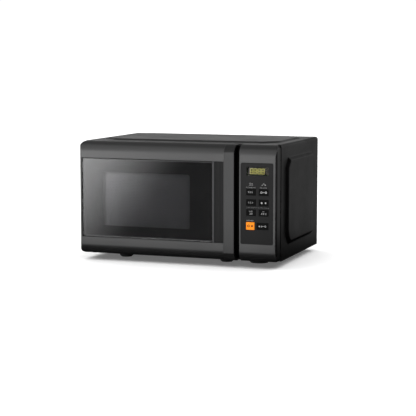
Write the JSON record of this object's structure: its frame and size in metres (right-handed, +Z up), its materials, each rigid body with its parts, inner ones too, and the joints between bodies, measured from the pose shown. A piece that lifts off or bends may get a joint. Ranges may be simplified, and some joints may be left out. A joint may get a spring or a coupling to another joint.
{
  "type": "microwave oven",
  "caption": "Compact countertop microwave oven with a steel case, a side-hinged glass door with a tall pull handle, a key panel, a turntable and rubber-tipped feet.",
  "frame": {"origin": "centre of the footprint, on the surface that the feet stand on", "axes": "+X to the right seen from the front, +Y to the back, +Z up"},
  "size_m": [0.452, 0.336, 0.258],
  "materials": {
    "cabinet_paint": "satin charcoal powder coat",
    "rear_paint": "satin",
    "front_plastic": "satin charcoal",
    "handle_plastic": "satin charcoal",
    "window_glass": "tinted, polished",
    "trim_silver": "fine brushed line",
    "trim_grey": "fine vertical lines",
    "panel_film": "matt film",
    "key_black": "satin black",
    "key_orange": "semi-gloss orange",
    "display_lens": "dark, polished",
    "display_case": "digits lit yellow-green",
    "black_plastic": "matt black",
    "foot_rubber": "matt",
    "screw_steel": "zinc plated",
    "zinc_steel": "galvanised sheet",
    "cavity_paint": "light grey enamel",
    "frame_paint": "satin dark grey",
    "inner_paint": "matt black",
    "screen_paint": "perforated, dark grey",
    "clear_sheet": "clear",
    "mica": "pale mica",
    "magnet_black": "dark ferrite and steel",
    "aluminium": "plain",
    "core_steel": "varnished laminations",
    "copper_winding": "enamelled wire",
    "white_plastic": "natural white",
    "bulb_glass": "clear",
    "tray_glass": "clear, polished",
    "switch_plastic": "dark",
    "board": "green lacquer",
    "spring_steel": "plain"
  },
  "bodies": {
    "root": {"outer_cabinet": "cabinet_paint", "base_plate": "zinc_steel", "rear_panel": "rear_paint", "wall_spacers": "black_plastic", "feet": "black_plastic", "foot_pads": "foot_rubber", "cabinet_screws": "screw_steel", "cavity_shell": "cavity_paint", "front_frame": "frame_paint", "hinge_brackets": "zinc_steel", "waveguide": "zinc_steel", "mica_cover": "mica", "magnetron_core": "magnet_black", "magnetron_fins": "aluminium", "magnetron_yoke": "zinc_steel", "magnetron_filter_box": "zinc_steel", "transformer_core": "core_steel", "transformer_coils": "copper_winding", "capacitor": "aluminium", "fan_shroud": "black_plastic", "fan_motor": "core_steel", "lamp_holder": "white_plastic", "lamp_bulb": "bulb_glass", "turntable_motor": "zinc_steel", "latch_holder": "white_plastic", "interlock_switches": "switch_plastic", "noise_filter_board": "board", "cord_gland": "foot_rubber", "control_fascia": "front_plastic", "key_panel": "panel_film", "display_window": "display_lens", "display_module": "display_case", "control_board": "board", "tact_switches": "switch_plastic"},
    "door": {"door_frame": "front_plastic", "door_glass": "window_glass", "trim_line": "trim_silver", "trim_insert": "trim_grey", "handle": "handle_plastic", "door_inner_panel": "inner_paint", "door_screen": "screen_paint", "inner_sheet": "clear_sheet", "choke_cover": "black_plastic", "latch_spring": "spring_steel"},
    "latch": {"latch_hook": "white_plastic"},
    "turntable_drive": {"drive_coupler": "white_plastic"},
    "tray": {"glass_tray": "tray_glass"},
    "ring": {"roller_ring": "white_plastic"},
    "roller_a": {"roller_1": "white_plastic"},
    "roller_b": {"roller_2": "white_plastic"},
    "roller_c": {"roller_3": "white_plastic"},
    "fan": {"fan_blade": "white_plastic"},
    "key_row1_left": {"key_row1_left": "key_black"},
    "key_row1_right": {"key_row1_right": "key_black"},
    "key_row2_left": {"key_row2_left": "key_black"},
    "key_row2_right": {"key_row2_right": "key_black"},
    "key_row3_left": {"key_row3_left": "key_black"},
    "key_row3_right": {"key_row3_right": "key_black"},
    "key_cancel": {"key_cancel": "key_orange"},
    "key_start": {"key_start": "key_black"}
  },
  "joints": [
    {"name": "door_hinge", "type": "hinge", "parent": "root", "child": "door", "pos_m": [-0.209, -0.145, 0.1345], "axis": [0, 0, -1], "range_deg": [0, 100]},
    {"name": "latch_slide", "type": "slide", "parent": "door", "child": "latch", "axis": [0, 0, 1], "range_m": [0, 0.004], "stiffness_N_per_m": 400, "deforming": ["latch_spring"]},
    {"name": "turntable_spin", "type": "hinge", "parent": "root", "child": "turntable_drive", "pos_m": [-0.054, -0.001, 0.04], "axis": [0, 0, 1], "continuous": true},
    {"name": "tray_lift", "type": "slide", "parent": "turntable_drive", "child": "tray", "axis": [0, 0, 1], "range_m": [0, 0.04]},
    {"name": "ring_turn", "type": "hinge", "parent": "root", "child": "ring", "pos_m": [-0.054, -0.001, 0.0433], "axis": [0, 0, 1], "continuous": true},
    {"name": "roller_a_spin", "type": "hinge", "parent": "ring", "child": "roller_a", "pos_m": [0.04, -0.001, 0.0433], "axis": [1, 0, 0], "continuous": true},
    {"name": "roller_b_spin", "type": "hinge", "parent": "ring", "child": "roller_b", "pos_m": [-0.101, 0.08041, 0.0433], "axis": [-0.5, 0.866, 0], "continuous": true},
    {"name": "roller_c_spin", "type": "hinge", "parent": "ring", "child": "roller_c", "pos_m": [-0.101, -0.08241, 0.0433], "axis": [-0.5, -0.866, 0], "continuous": true},
    {"name": "fan_spin", "type": "hinge", "parent": "root", "child": "fan", "pos_m": [0.16, 0.12, 0.134], "axis": [0, 1, 0], "continuous": true},
    {"name": "key_row1_left_press", "type": "slide", "parent": "root", "child": "key_row1_left", "axis": [0, 1, 0], "range_m": [0, 0.0005], "stiffness_N_per_m": 1500},
    {"name": "key_row1_right_press", "type": "slide", "parent": "root", "child": "key_row1_right", "axis": [0, 1, 0], "range_m": [0, 0.0005], "stiffness_N_per_m": 1500},
    {"name": "key_row2_left_press", "type": "slide", "parent": "root", "child": "key_row2_left", "axis": [0, 1, 0], "range_m": [0, 0.0005], "stiffness_N_per_m": 1500},
    {"name": "key_row2_right_press", "type": "slide", "parent": "root", "child": "key_row2_right", "axis": [0, 1, 0], "range_m": [0, 0.0005], "stiffness_N_per_m": 1500},
    {"name": "key_row3_left_press", "type": "slide", "parent": "root", "child": "key_row3_left", "axis": [0, 1, 0], "range_m": [0, 0.0005], "stiffness_N_per_m": 1500},
    {"name": "key_row3_right_press", "type": "slide", "parent": "root", "child": "key_row3_right", "axis": [0, 1, 0], "range_m": [0, 0.0005], "stiffness_N_per_m": 1500},
    {"name": "key_cancel_press", "type": "slide", "parent": "root", "child": "key_cancel", "axis": [0, 1, 0], "range_m": [0, 0.0005], "stiffness_N_per_m": 1500},
    {"name": "key_start_press", "type": "slide", "parent": "root", "child": "key_start", "axis": [0, 1, 0], "range_m": [0, 0.0005], "stiffness_N_per_m": 1500}
  ],
  "couplings": [
    {"joint": "ring_turn", "follows": "turntable_spin", "ratio": 0.5},
    {"joint": "roller_a_spin", "follows": "turntable_spin", "ratio": -6.7143},
    {"joint": "roller_b_spin", "follows": "turntable_spin", "ratio": -6.7143},
    {"joint": "roller_c_spin", "follows": "turntable_spin", "ratio": -6.7143}
  ]
}
